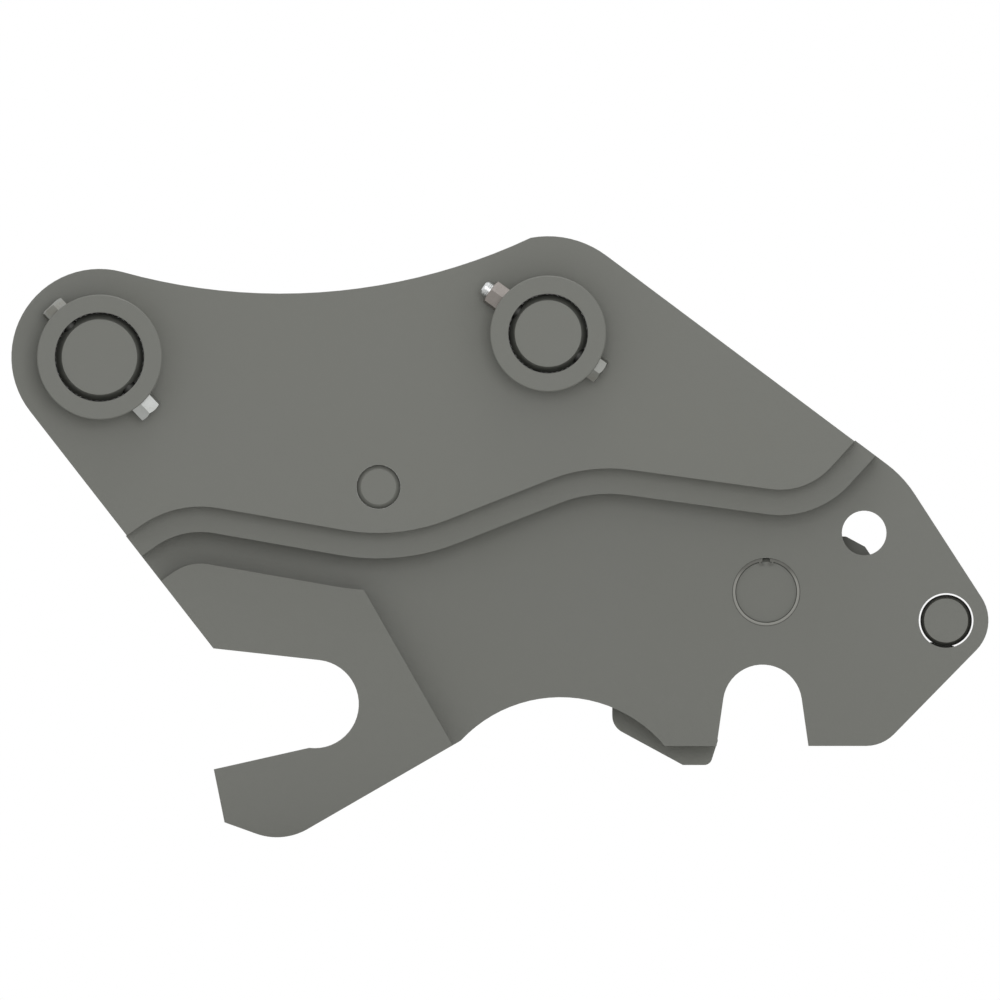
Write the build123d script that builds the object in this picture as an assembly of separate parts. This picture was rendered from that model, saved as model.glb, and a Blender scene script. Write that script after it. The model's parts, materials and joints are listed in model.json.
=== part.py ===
"""Hydraulic quick coupler for a 22 to 25 tonne excavator.

Lengths are millimetres. The origin is the centre of the arm pin. X runs from the arm pin
toward the hook, Y to the left seen along X, and Z up. Side outlines are drawn in X and Z.
"""

import os
from math import cos, radians, sin, tan

from build123d import *

# Fits and gaps
pin_fit = 0.05
running_gap = 0.3
weld_fit = 0.0
seal_fit = 0.03

# Widths across the coupler
stick_width = 315.0
ear_thickness = 36.0
deck_side_step = 24.0
collar_width = 36.0
pin_end_recess = 1.0
collar_bore_gap = 0.8
body_inner_width = 208.0
side_thickness = 30.0
doubler_thickness = 25.0

# Machine side: the two ears and the outline above the deck
arm_pin_radius = 45.0
link_pin_radius = 40.0
pin_spacing = 460.0
link_pin_rise = 3.0
arm_ear_radius = 90.3
link_ear_radius = 99.7
top_hollow_radius = 602.4
top_hollow_bite = 2.9
front_edge_slope = 52.1
roof_slope = 36.8
body_edge_step = 1.0

# Collars and their through bolts
arm_collar_radius = 64.0
link_collar_radius = 59.4
arm_pin_face_radius = 38.5
link_pin_face_radius = 34.0
pin_lead = 19.0
bolt_radius = 8.0
bolt_clearance = 0.4
hex_width = 24.0
head_height = 10.0
nut_height = 16.0
hex_turn = 10.0
bolt_end_chamfer = 2.0
collar_chamfer = 1.0
spot_face_radius = 16.5
spot_face_depth = 1.4
arm_bolt_angle = 133.5
link_bolt_angle = -36.0
arm_bolt_tail = -1.0
link_bolt_tail = 8.0

# Deck plate, bent four times and seen edge on from the side
deck_thickness = 26.0
front_crest = (81.6, -160.8)
front_valley = (306.8, -200.2)
rear_crest = (502.9, -122.9)
rear_valley = (728.9, -154.0)
front_crest_bend = 93.0
front_valley_bend = 210.0
rear_crest_bend = 152.0
rear_valley_bend = 83.0
front_lip_slope = 35.0
rear_lip_slope = 47.7
window_start = 297.0
window_end = 480.0
window_half_width = 49.0
window_corner = 14.0

# Front jaw, which takes the first bucket pin
jaw_centre = (220.3, -355.3)
jaw_radius = 45.2
jaw_top_slope = 6.3
jaw_bottom_slope = 12.7
jaw_bottom_drop = 42.5
jaw_tip_top_x = 117.0
jaw_tip = (128.0, -476.5)
jaw_toe_slope = 19.8
jaw_toe_bend = 63.0
under_slope = 30.0
saddle_thickness = 16.0
floor_thickness = 16.0

# Doubler plates outside the front jaw
doubler_drop = 45.5
doubler_end_top = (271.6, -240.2)
doubler_end_slope = 60.3

# Belly, rear slot and heel of the side plates
belly_start = (370.0, -392.8)
belly_end_x = 579.0
belly_radius = 139.5
sole_z = -398.3
slot_centre = (678.9, -355.5)
slot_radius = 40.5
slot_flare = 8.1
heel_slope = 45.6
heel_bend = 40.4
rear_slope = 57.1
shoulder_bend = 118.0
lifting_bar_centre = (866.9, -269.8)
nose_radius = 43.4
lifting_bar_radius = 26.4
lifting_bar_face_radius = 22.4
lifting_bar_gap = 1.6
lifting_bar_end_recess = 2.0
lifting_bar_lead = 14.0
keeper_width = 20.0
keeper_angle = 260.5
keeper_length = 34.0
keeper_inner_y = 70.0

# Cross plates between the side plates
cross_thickness = 20.0
cross_inset = 7.0
mid_cross_x = 346.0
mid_cross_top = -234.0
rear_cross_end = 22.0
tie_start = 16.0
tie_length = 66.0

# Safety pin hole in both side plates
safety_hole_centre = (783.0, -180.2)
safety_hole_radius = 22.8

# Hook, drawn about its pivot in the open position
pivot_centre = (682.7, -240.6)
pivot_radius = 35.0
pivot_end_recess = 4.3
pivot_end_chamfer = 4.2
hook_swing = 24.0
hub_radius = 70.0
hub_side_gap = 10.0
hook_side_gap = 25.0
jaw_inner_radius = 157.0
hook_back_x = -157.7
hook_back_top = -80.0
hook_back_bottom = -137.9
hook_back_bend = 18.9
hook_toe_slope = 28.5
hook_bottom = -177.2
hook_tip_angle = 252.0
hook_tip_bend = 8.0
stop_top_inner = (77.2, 59.3)
stop_top_outer = (101.2, 46.4)
stop_end_slope = 56.0
stop_end_length = 12.0
stop_root_angle = 60.0
stop_seat_gap = 1.7
stop_deck_gap = 1.2
bush_wall = 7.5
bush_length = 40.0
washer_radius = 55.0

# Circlips in the side plates, in front of the pivot pin
circlip_thickness = 2.5
circlip_groove = 1.6
circlip_ring = 3.4
circlip_lug_radius = 2.8
circlip_lug_angle = 8.5
circlip_hole_radius = 1.1

# Rod pin through the hook lugs
rod_pin_radius = 20.0
rod_pin_arm = 100.0
rod_pin_angle = 195.0
rod_boss_radius = 40.0
open_pivot_clearance = 2.4
rod_pin_head = 8.0
rod_pin_head_radius = 26.0
rod_washer_thickness = 4.0
cotter_radius = 2.5

# Cylinder, measured along its own axis from the base pin
base_pin_centre = (285.7, -133.0)
base_pin_radius = 22.5
base_pin_chamfer = 4.5
eye_half_width = 30.0
clevis_side_gap = 2.0
base_eye_radius = 42.0
rod_eye_radius = 38.0
base_bush_wall = 5.0
rod_bush_wall = 5.0
lug_thickness = 20.0
lug_offset = 24.0
lug_radius = 38.0
lug_foot = 92.0
lock_screw_radius = 6.0
lock_screw_depth = 8.0
barrel_radius = 43.0
bore_radius = 35.0
barrel_start = 47.0
bore_start = 66.0
barrel_end = 226.0
rod_radius = 20.0
stub_radius = 14.0
piston_length = 40.0
piston_nut_height = 15.0
piston_nut_width = 41.0
cushion = 3.0
seal_width = 8.0
seal_depth = 5.0
wear_ring_width = 10.0
wear_ring_depth = 2.5
gland_length = 42.0
gland_flange = 10.0
gland_seal_offset = 16.0
gland_ring_offset = 30.0
gland_ring_width = 4.0
gland_ring_depth = 3.0
wiper_width = 7.0
wiper_lip = 2.0
wiper_depth = 4.0
spanner_hole_radius = 3.0

# Check valve block, its fittings and the transfer tube
pad_half_width = 32.0
pad_height = 47.0
pad_root = 38.0
block_start = 64.0
block_length = 70.0
block_half_width = 34.0
block_height = 38.0
block_edge = 2.0
block_bolt_radius = 4.0
block_bolt_head = 6.5
block_bolt_head_height = 8.0
block_bolt_inset = 7.0
block_bolt_depth = 6.0
fitting_spread = 15.0
fitting_height = 26.0
adapter_hex = 24.0
adapter_hex_length = 10.0
adapter_nose_radius = 8.5
adapter_nose_length = 14.0
cartridge_hex = 22.0
cartridge_hex_length = 9.0
cartridge_cap_radius = 8.0
cartridge_cap_length = 8.0
tube_radius = 5.0
tube_height = 9.0
tube_nut_hex = 14.0
tube_nut_length = 9.0
port_x = 174.0
port_boss_radius = 11.0
port_boss_top = 66.0
port_radius = 4.0
socket_depth = 6.0

# Grease nipples
nipple_hex = 9.0
nipple_hex_height = 5.0
nipple_stem_radius = 2.6
nipple_height = 12.0
nipple_sink = 4.0

# Planes where one layer ends and the next begins, as half widths
ear_inner = stick_width / 2
ear_outer = ear_inner + ear_thickness
collar_outer = ear_outer + collar_width
deck_half_width = ear_outer - deck_side_step
side_inner = body_inner_width / 2
side_outer = side_inner + side_thickness
hub_half_width = side_inner - hub_side_gap
hook_half_width = side_inner - hook_side_gap
doubler_outer = side_outer + doubler_thickness
pin_half_length = collar_outer - pin_end_recess
bolt_y = (ear_outer + collar_outer) / 2
far = 2000.0


def polar(centre, radius, angle):
    """Point at a distance and an angle in degrees from a centre."""
    return (
        centre[0] + radius * cos(radians(angle)),
        centre[1] + radius * sin(radians(angle)),
    )


def meet(first, first_angle, second, second_angle):
    """Point where two lines cross, each given by a point and an angle."""
    run_x, run_z = second[0] - first[0], second[1] - first[1]
    turn = sin(radians(second_angle - first_angle))
    along = run_x * sin(radians(second_angle)) - run_z * cos(radians(second_angle))
    return polar(first, along / turn, first_angle)


def outline(*points):
    """Face inside straight lines from point to point."""
    return make_face(Polyline(*points, close=True))


def disc(centre, radius):
    return Pos(*centre) * Circle(radius)


def slab(face, start, end):
    """Side outline made solid from one width to another."""
    return extrude(Plane.XZ.offset(-start) * face, amount=start - end)


def shaft(centre, radius, start, end):
    """Round bar across the coupler."""
    return slab(disc(centre, radius), start, end)


def turned(centre, *profile):
    """Solid of revolution across the coupler, from radius and width pairs."""
    return Pos(centre[0], 0, centre[1]) * revolve(outline(*profile), Axis.Y)


def tapered_pin(centre, radius, half_length, face_radius, lead):
    """Pin with the same taper at both ends."""
    return turned(
        centre,
        (0, -half_length),
        (face_radius, -half_length),
        (radius, lead - half_length),
        (radius, half_length - lead),
        (face_radius, half_length),
        (0, half_length),
    )


def left_of(right):
    """Same piece on the other side of the middle plane."""
    return mirror(right, Plane.XZ)


def hexagon(width):
    return RegularPolygon(width / 2, 6, major_radius=False)


def hex_prism(width, height):
    """Hexagonal solid whose outer corners are turned off like a nut's."""
    cap = Cone(
        width * 0.47 + height * 1.7,
        width * 0.47,
        height,
        align=(Align.CENTER, Align.CENTER, Align.MIN),
    )
    return extrude(hexagon(width), height) & cap


# Places that follow from the driving sizes
arm_pin_centre = (0.0, 0.0)
link_pin_centre = polar(arm_pin_centre, pin_spacing, link_pin_rise)
front_edge_angle = -front_edge_slope
front_edge_point = polar(arm_pin_centre, arm_ear_radius, 270 - front_edge_slope)
roof_edge_point = polar(link_pin_centre, link_ear_radius, 90 - roof_slope)
rear_edge_point = polar(lifting_bar_centre, nose_radius, 90 - rear_slope)
heel_edge_point = polar(lifting_bar_centre, nose_radius, heel_slope - 90)
shoulder_point = meet(roof_edge_point, -roof_slope, rear_edge_point, -rear_slope)
nose_point = meet(rear_edge_point, -rear_slope, heel_edge_point, heel_slope)
heel_point = meet(heel_edge_point, heel_slope, (0, sole_z), 0)
belly_end = (belly_end_x, sole_z)
jaw_bottom_point = polar(jaw_centre, jaw_bottom_drop, 270 + jaw_bottom_slope)
jaw_tip_top = meet((jaw_tip_top_x, 0), 90, jaw_bottom_point, jaw_bottom_slope)
toe_point = meet(jaw_tip, -jaw_toe_slope, belly_start, under_slope)


def top_hollow_centre():
    """Centre of the arc that runs into the arm ear and bites into the link ear."""
    reach_arm = top_hollow_radius + arm_ear_radius
    reach_link = top_hollow_radius + link_ear_radius - top_hollow_bite
    along = (pin_spacing**2 + reach_arm**2 - reach_link**2) / (2 * pin_spacing)
    up = (reach_arm**2 - along**2) ** 0.5
    foot = polar(arm_pin_centre, along, link_pin_rise)
    return polar(foot, up, link_pin_rise + 90)


def deck_line():
    """Middle line of the bent deck plate."""
    front_end = polar(front_crest, 160, 180 + front_lip_slope)
    rear_end = polar(rear_valley, 180, rear_lip_slope)
    corners = (front_end, front_crest, front_valley, rear_crest, rear_valley, rear_end)
    bends = (front_crest_bend, front_valley_bend, rear_crest_bend, rear_valley_bend)
    return FilletPolyline(*corners, radius=bends)


def deck_band(thickness=deck_thickness):
    return trace(deck_line(), thickness)


def region_beyond_deck(height):
    """Everything on one side of the deck's middle line, up or down to a height."""
    line = deck_line()
    start, end = line @ 0, line @ 1
    close = Polyline(
        (end.X, end.Y), (far, end.Y), (far, height), (-far, height), (-far, start.Y),
        (start.X, start.Y),
    )
    return make_face(line.edges() + close.edges())


def ear_outline():
    """Both ears, the hollow between them and the two sloping edges."""
    front_foot = polar(front_edge_point, far / 4, front_edge_angle)
    hollow = top_hollow_centre()
    arm_top = polar(arm_pin_centre, arm_ear_radius, 75)
    link_top = polar(link_pin_centre, link_ear_radius, 112)
    body = outline(
        arm_pin_centre,
        arm_top,
        link_top,
        roof_edge_point,
        shoulder_point,
        front_foot,
        front_edge_point,
    )
    return (
        body
        + disc(arm_pin_centre, arm_ear_radius)
        + disc(link_pin_centre, link_ear_radius)
        - disc(hollow, top_hollow_radius)
    )


def body_outline():
    """Side plate outline under the deck, before its openings."""
    front_top = polar(front_edge_point, body_edge_step, 270 - front_edge_slope)
    roof_top = polar(roof_edge_point, body_edge_step, 90 - roof_slope)
    shoulder = meet(roof_top, -roof_slope, rear_edge_point, -rear_slope)
    lip = meet(front_top, front_edge_angle, jaw_top_point(), -jaw_top_slope)
    lines = Polyline(
        belly_start, toe_point, jaw_tip, jaw_tip_top, lip, front_top, roof_top, shoulder,
        nose_point, heel_point, belly_end,
    )
    face = make_face(lines.edges() + RadiusArc(belly_start, belly_end, belly_radius).edges())
    for corner, bend in (
        (toe_point, jaw_toe_bend),
        (shoulder, shoulder_bend),
        (nose_point, nose_radius),
        (heel_point, heel_bend),
    ):
        face = fillet(nearest_vertex(face, corner), bend)
    return face


def nearest_vertex(face, point):
    return face.vertices().sort_by_distance(Vector(*point))[0]


def jaw_top_point():
    """Where the jaw's upper lip leaves the round seat."""
    return polar(jaw_centre, jaw_radius, 90 - jaw_top_slope)


def jaw_opening():
    """Round seat of the front pin and the mouth that leads into it."""
    top = jaw_top_point()
    mouth = outline(
        top,
        polar(top, far / 8, 180 - jaw_top_slope),
        polar(jaw_bottom_point, far / 8, 180 + jaw_bottom_slope),
        jaw_bottom_point,
    )
    return mouth + disc(jaw_centre, jaw_radius)


def slot_opening():
    """Saddle over the rear pin, flared toward the bottom."""
    left = polar(slot_centre, slot_radius, 180 - slot_flare)
    right = polar(slot_centre, slot_radius, slot_flare)
    depth = slot_centre[1] - sole_z + slot_radius
    flare = outline(
        left,
        right,
        polar(right, depth, slot_flare - 90),
        polar(left, depth, 270 - slot_flare),
    )
    return flare + disc(slot_centre, slot_radius)


def side_face():
    """Side plate with its jaw, slot and holes."""
    face = body_outline() & region_beyond_deck(-far / 2)
    face -= deck_band()
    face -= jaw_opening()
    face -= slot_opening()
    face -= disc(pivot_centre, pivot_radius + pin_fit)
    face -= disc(safety_hole_centre, safety_hole_radius)
    return face - disc(lifting_bar_centre, lifting_bar_radius + lifting_bar_gap)


def ear_plate():
    face = ear_outline() & region_beyond_deck(far / 2)
    face -= deck_band()
    face -= disc(arm_pin_centre, arm_pin_radius + pin_fit)
    face -= disc(link_pin_centre, link_pin_radius + pin_fit)
    face -= disc(base_pin_centre, base_pin_radius + pin_fit)
    return slab(face, -ear_outer, -ear_inner)


def deck_plate():
    band = slab(deck_band(), -deck_half_width, deck_half_width)
    deck = band & slab(body_outline(), -deck_half_width, deck_half_width)
    window = Pos((window_start + window_end) / 2, 0, front_valley[1]) * extrude(
        RectangleRounded(window_end - window_start, 2 * window_half_width, window_corner),
        far / 4,
        both=True,
    )
    return deck - window


def side_plate():
    plate = slab(side_face(), -side_outer, -side_inner)
    groove_start = -side_outer + pivot_end_recess - running_gap
    groove = shaft(
        pivot_centre,
        pivot_radius + circlip_groove,
        groove_start - circlip_thickness - pin_fit,
        groove_start,
    )
    return plate - groove


def jaw_doubler():
    end_top = polar(doubler_end_top, far / 8, 180 - doubler_end_slope)
    end_bottom = polar(doubler_end_top, far / 4, -doubler_end_slope)
    zone = outline(end_top, end_bottom, (-far, -far), (-far, 0))
    face = side_face() & zone
    face -= deck_band(2 * doubler_drop)
    return slab(face, -doubler_outer, -side_outer)


def saddle_face():
    """Wear plate bent round the seat of the front pin."""
    opening = jaw_opening()
    wrap = offset(opening, amount=saddle_thickness) - opening
    return wrap & body_outline()


def floor_line():
    """Middle line of the plate that closes the underside of the jaw."""
    shift = floor_thickness / 2 + body_edge_step
    front = polar(jaw_tip, shift, 90 - jaw_toe_slope)
    rear = polar(belly_start, shift, 90 + under_slope)
    corner = meet(front, -jaw_toe_slope, rear, under_slope)
    return FilletPolyline(front, corner, rear, radius=jaw_toe_bend - shift)


def floor_face():
    return trace(floor_line(), floor_thickness)


def edge_strip(start, angle, begin, end, inward, inset=cross_inset):
    """Cross plate section inside a straight edge, between two distances along it."""
    outer = [polar(polar(start, run, angle), inset, inward) for run in (begin, end)]
    inner = [polar(point, cross_thickness, inward) for point in reversed(outer)]
    return outline(*outer, *inner)


def front_cross_face():
    strip = edge_strip(front_edge_point, front_edge_angle, 0, far / 5, 90 - front_edge_slope)
    return (strip & side_face()) - saddle_face()


def mid_cross_face():
    """Upright plate standing on the jaw floor."""
    line_end = floor_line() @ 1
    sides = [mid_cross_x + cross_thickness / 2 * way for way in (-1, 1)]
    feet = [
        (x, line_end.Y - (line_end.X - x) * tan(radians(under_slope))) for x in sides
    ]
    upright = outline(feet[0], feet[1], (sides[1], mid_cross_top), (sides[0], mid_cross_top))
    return upright - floor_face()


def rear_cross_face():
    reach = far / 5
    strip = edge_strip(
        rear_edge_point, 180 - rear_slope, rear_cross_end, reach, 270 - rear_slope
    )
    return strip & side_face()


def rear_tie_face():
    strip = edge_strip(
        heel_point, heel_slope, tie_start, tie_start + tie_length, 90 + heel_slope
    )
    return strip & side_face()


def between_sides(face):
    return slab(face, weld_fit - side_inner, side_inner - weld_fit)


def lifting_bar_keeper():
    """Block under the lifting bar, welded to one side plate."""
    strip = Pos(*lifting_bar_centre) * Rot(Z=keeper_angle) * Pos(
        lifting_bar_radius + keeper_length / 2 - keeper_width / 8, 0
    ) * Rectangle(keeper_length + keeper_width / 4, keeper_width)
    strip -= disc(lifting_bar_centre, lifting_bar_radius)
    strip -= rear_tie_face()
    return slab(strip, -side_inner, -keeper_inner_y)


def lifting_bar():
    half = side_outer - lifting_bar_end_recess
    return tapered_pin(
        lifting_bar_centre, lifting_bar_radius, half, lifting_bar_face_radius, lifting_bar_lead
    )


def cylinder_lug():
    """Bracket standing on the deck beside the cylinder's base eye."""
    foot_z = front_valley[1]
    half_foot = lug_foot / 2
    face = outline(
        (base_pin_centre[0] - half_foot, foot_z),
        (base_pin_centre[0] + half_foot, foot_z),
        (base_pin_centre[0] + lug_radius, base_pin_centre[1]),
        (base_pin_centre[0] - lug_radius, base_pin_centre[1]),
    )
    face += disc(base_pin_centre, lug_radius)
    face = face & region_beyond_deck(far / 2)
    face -= deck_band()
    face -= disc(base_pin_centre, base_pin_radius + pin_fit)
    lug = slab(face, -lug_outer, -lug_inner)
    return lug - lock_screw_bore(lock_screw_radius + pin_fit)


lug_inner = eye_half_width + lug_offset
lug_outer = lug_inner + lug_thickness
lock_screw_y = (lug_inner + lug_outer) / 2


def lock_screw_bore(radius):
    """Upright round from inside the base pin to above the lug."""
    bottom = base_pin_centre[1] + base_pin_radius - lock_screw_depth
    top = base_pin_centre[1] + lug_radius
    return Pos(base_pin_centre[0], -lock_screw_y, (bottom + top) / 2) * Cylinder(
        radius, top - bottom
    )


def lock_screw():
    """Hexagon screw that keeps the base pin from turning and sliding out."""
    shank = lock_screw_bore(lock_screw_radius)
    head = Pos(base_pin_centre[0], -lock_screw_y, base_pin_centre[1] + lug_radius) * hex_prism(
        3 * lock_screw_radius, lock_screw_radius
    )
    return shank + head


def base_pin():
    pin = tapered_pin(
        base_pin_centre,
        base_pin_radius,
        ear_outer,
        base_pin_radius - base_pin_chamfer,
        base_pin_chamfer,
    )
    hole = lock_screw_bore(lock_screw_radius + pin_fit)
    return pin - hole - left_of(hole)


def base_pin_spacer():
    """Sleeve between the base eye and a lug."""
    sleeve = disc(base_pin_centre, lug_radius * 0.82) - disc(
        base_pin_centre, base_pin_radius + pin_fit
    )
    return slab(sleeve, running_gap - lug_inner, -eye_half_width - running_gap)


def bolt_axis(centre, angle, y):
    """Plane whose Z axis runs out of a collar along its bolt, toward the head."""
    out = (cos(radians(angle)), 0, sin(radians(angle)))
    return Plane(origin=(centre[0], y, centre[1]), x_dir=(0, 1, 0), z_dir=out)


def collar(centre, pin_radius, collar_radius, bolt_angle):
    """Boss ring outside one ear, with flats for the bolt's head and nut."""
    ring = shaft(centre, collar_radius, -collar_outer, -ear_outer)
    edge = ring.edges().filter_by(GeomType.CIRCLE).group_by(Axis.Y)[0]
    ring = chamfer(edge, collar_chamfer)
    ring -= shaft(centre, pin_radius + collar_bore_gap, -collar_outer, -ear_outer)
    axis = bolt_axis(centre, bolt_angle, -bolt_y)
    ring -= axis * Cylinder(bolt_radius + bolt_clearance, 2.5 * collar_radius)
    flat_at = collar_radius - spot_face_depth
    for way in (-1, 1):
        flat = Pos(0, 0, way * (flat_at + spot_face_depth * 2)) * Cylinder(
            spot_face_radius, spot_face_depth * 4
        )
        ring -= axis * flat
    return ring


def collar_bolt(centre, collar_radius, bolt_angle, tail):
    """Through bolt: head on one flat, plain shank to just past the nut."""
    seat = collar_radius - spot_face_depth
    length = 2 * seat + nut_height + tail
    shank = Pos(0, 0, seat - length / 2) * Cylinder(bolt_radius, length)
    shank = chamfer(shank.edges().group_by(Axis.Z)[0], bolt_end_chamfer)
    head = Pos(0, 0, seat) * Rot(Z=hex_turn) * hex_prism(hex_width, head_height)
    return bolt_axis(centre, bolt_angle, -bolt_y) * (shank + head)


def collar_nut(centre, collar_radius, bolt_angle):
    seat = collar_radius - spot_face_depth
    nut = hex_prism(hex_width, nut_height) - Cylinder(bolt_radius + pin_fit, 4 * nut_height)
    place = Pos(0, 0, seat) * Rot(Z=hex_turn)
    return bolt_axis(centre, bolt_angle + 180, -bolt_y) * place * nut


def coupler_pin(centre, radius, face_radius, bolt_angle):
    """Arm or link pin, cross drilled for its two bolts."""
    pin = tapered_pin(centre, radius, pin_half_length, face_radius, pin_lead)
    for y in (-bolt_y, bolt_y):
        pin -= bolt_axis(centre, bolt_angle, y) * Cylinder(
            bolt_radius + bolt_clearance, 2.5 * radius
        )
    return pin


def pivot_pin():
    half = side_outer - pivot_end_recess
    face_radius = pivot_radius - pivot_end_chamfer
    return tapered_pin(pivot_centre, pivot_radius, half, face_radius, pivot_end_chamfer)


def pivot_circlip():
    """Internal circlip with two pierced lugs at the top."""
    outer = pivot_radius + circlip_groove - pin_fit
    inner = pivot_radius - circlip_ring
    face = Circle(outer) - Circle(inner)
    gap = 2 * inner * sin(radians(circlip_lug_angle)) - 0.6 * circlip_lug_radius
    for way in (-1, 1):
        lug = polar((0, 0), inner - circlip_lug_radius / 2, 90 + way * circlip_lug_angle)
        face += disc(lug, circlip_lug_radius)
    face -= Pos(0, outer) * Rectangle(gap, 6 * circlip_lug_radius)
    for way in (-1, 1):
        lug = polar((0, 0), inner - circlip_lug_radius / 2, 90 + way * circlip_lug_angle)
        face -= disc(lug, circlip_hole_radius)
    seat = -side_outer + pivot_end_recess - running_gap
    return slab(Pos(*pivot_centre) * face, seat - circlip_thickness, seat)


def thrust_washer():
    ring = disc(pivot_centre, washer_radius) - disc(pivot_centre, pivot_radius + pin_fit)
    return slab(ring, running_gap - side_inner, -hub_half_width - running_gap)


def hook_point(x, z):
    """Point given about the hook's pivot."""
    return (pivot_centre[0] + x, pivot_centre[1] + z)


rod_pin_centre = polar(pivot_centre, rod_pin_arm, rod_pin_angle)
throat_radius = (jaw_inner_radius - hub_radius) / 2
throat_arm = (jaw_inner_radius + hub_radius) / 2
pin_bearing = 268.1 - hook_swing
throat_centre = polar(pivot_centre, throat_arm, pin_bearing)


def hook_neck():
    """Web that joins the hub to the rod pin boss."""
    circles = disc(pivot_centre, hub_radius).edges() + disc(rod_pin_centre, rod_boss_radius).edges()
    return make_hull(circles)


def hook_jaw():
    """Back and lower limb of the hook, before the throat is cut."""
    back_top = hook_point(hook_back_x, hook_back_top)
    back_bottom = hook_point(hook_back_x, hook_back_bottom)
    toe = meet(back_bottom, -hook_toe_slope, hook_point(0, hook_bottom), 0)
    tip = meet(pivot_centre, hook_tip_angle, hook_point(0, hook_bottom), 0)
    tip_inner = polar(pivot_centre, jaw_inner_radius, hook_tip_angle)
    boss_side = polar(rod_pin_centre, rod_boss_radius, 165)
    face = outline(pivot_centre, boss_side, back_top, back_bottom, toe, tip, tip_inner)
    for corner, bend in (
        (back_top, 2 * hook_back_bend),
        (back_bottom, hook_back_bend),
        (tip, hook_tip_bend),
    ):
        face = fillet(nearest_vertex(face, corner), bend)
    return face


def hook_throat():
    """Path of the rear pin into the hook: an arc about the pivot with a round end."""
    open_end = pin_bearing + 90
    ring = disc(pivot_centre, jaw_inner_radius) - disc(pivot_centre, hub_radius)
    wedge = outline(
        pivot_centre,
        polar(pivot_centre, 2 * jaw_inner_radius, pin_bearing),
        polar(pivot_centre, 3 * jaw_inner_radius, pin_bearing + 45),
        polar(pivot_centre, 2 * jaw_inner_radius, open_end),
    )
    return (ring & wedge) + disc(throat_centre, throat_radius)


def hook_stop():
    """Lug that shuts the safety pin hole until the hook is home."""
    outer = hook_point(*stop_top_outer)
    end = polar(outer, stop_end_length, -stop_end_slope)
    inner = hook_point(*stop_top_inner)
    face = outline(
        pivot_centre,
        polar(pivot_centre, hub_radius, stop_root_angle),
        (inner[0] - stop_end_length, inner[1]),
        inner,
        outer,
        end,
        polar(pivot_centre, hub_radius, -8),
    )
    reach = (
        (safety_hole_centre[0] - pivot_centre[0]) ** 2
        + (safety_hole_centre[1] - pivot_centre[1]) ** 2
    ) ** 0.5
    bearing = Vector(*safety_hole_centre) - Vector(*pivot_centre)
    angle = bearing.get_signed_angle(Vector(1, 0), Vector(0, 0, -1)) - hook_swing
    seat = disc(polar(pivot_centre, reach, angle), safety_hole_radius + stop_seat_gap)
    return face - seat


def deck_at_home():
    """Deck as the stop lug meets it when the hook is shut, turned back to the open hook."""
    lowered = Pos(0, 0, -stop_deck_gap) * slab(deck_band(), -side_inner, side_inner)
    turn = Axis((pivot_centre[0], 0, pivot_centre[1]), (0, -1, 0))
    return lowered.rotate(turn, -hook_swing)


def latch_hook():
    hub = disc(pivot_centre, hub_radius)
    web = hook_neck() + hook_jaw() + hook_stop()
    web -= hook_throat()
    tip_inner = polar(pivot_centre, jaw_inner_radius, hook_tip_angle)
    web = fillet(nearest_vertex(web, tip_inner), hook_tip_bend / 2)
    hook = slab(web, -hook_half_width, hook_half_width) - deck_at_home()
    hook += slab(hub, -hub_half_width, hub_half_width)
    hook -= shaft(pivot_centre, pivot_radius + bush_wall, -far, far)
    hook -= shaft(rod_pin_centre, rod_pin_radius + open_pivot_clearance, -far, far)
    clevis = disc(rod_pin_centre, rod_boss_radius + 6)
    half = eye_half_width + clevis_side_gap
    return hook - slab(clevis, -half, half)


def hook_bush():
    ring = disc(pivot_centre, pivot_radius + bush_wall) - disc(
        pivot_centre, pivot_radius + pin_fit
    )
    return slab(ring, -hub_half_width, bush_length - hub_half_width)


def nipple(place):
    """Grease nipple standing on a point, along the place's Z axis."""
    stem = Cylinder(
        nipple_stem_radius, nipple_height + nipple_sink, align=(Align.CENTER, Align.CENTER, Align.MIN)
    )
    collar_part = extrude(hexagon(nipple_hex), nipple_hex_height)
    return place * (Pos(0, 0, -nipple_sink) * stem + collar_part)


def nipple_hole(place):
    return place * Cylinder(nipple_stem_radius + pin_fit, 2 * nipple_sink)


def upward_plane(point, angle, y=0.0):
    """Plane at a point of the side outline whose Z axis has an angle there."""
    out = (cos(radians(angle)), 0, sin(radians(angle)))
    return Plane(origin=(point[0], y, point[1]), x_dir=(0, 1, 0), z_dir=out)


neck_slope_angle = rod_pin_angle - 180
neck_taper = Vector(rod_pin_arm, 0).get_angle(
    Vector((rod_pin_arm**2 - (hub_radius - rod_boss_radius) ** 2) ** 0.5, hub_radius - rod_boss_radius)
)
neck_top_angle = 90 + neck_slope_angle + neck_taper
hook_nipple_point = polar(
    polar(pivot_centre, hub_radius, neck_top_angle), rod_pin_arm / 5, neck_top_angle + 90
)

# Cylinder frame: X along the rod, Y across, Z square to both
cylinder_run = Vector(*rod_pin_centre) - Vector(*base_pin_centre)
eye_distance = cylinder_run.length
cylinder_frame = Plane(
    origin=(base_pin_centre[0], 0, base_pin_centre[1]),
    x_dir=(cylinder_run.X, 0, cylinder_run.Y),
    z_dir=(-cylinder_run.Y, 0, cylinder_run.X),
)
piston_start = bore_start + cushion + piston_nut_height
piston_end = piston_start + piston_length
gland_start = barrel_end - gland_length
block_top = pad_height + block_height


def along_rod(radius, start, end):
    """Round bar along the cylinder's axis."""
    bar = Rot(Y=90) * Cylinder(radius, end - start)
    return Pos((start + end) / 2, 0, 0) * bar


def ring_along_rod(outer, inner, start, end):
    return along_rod(outer, start, end) - along_rod(inner, start, end)


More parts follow.
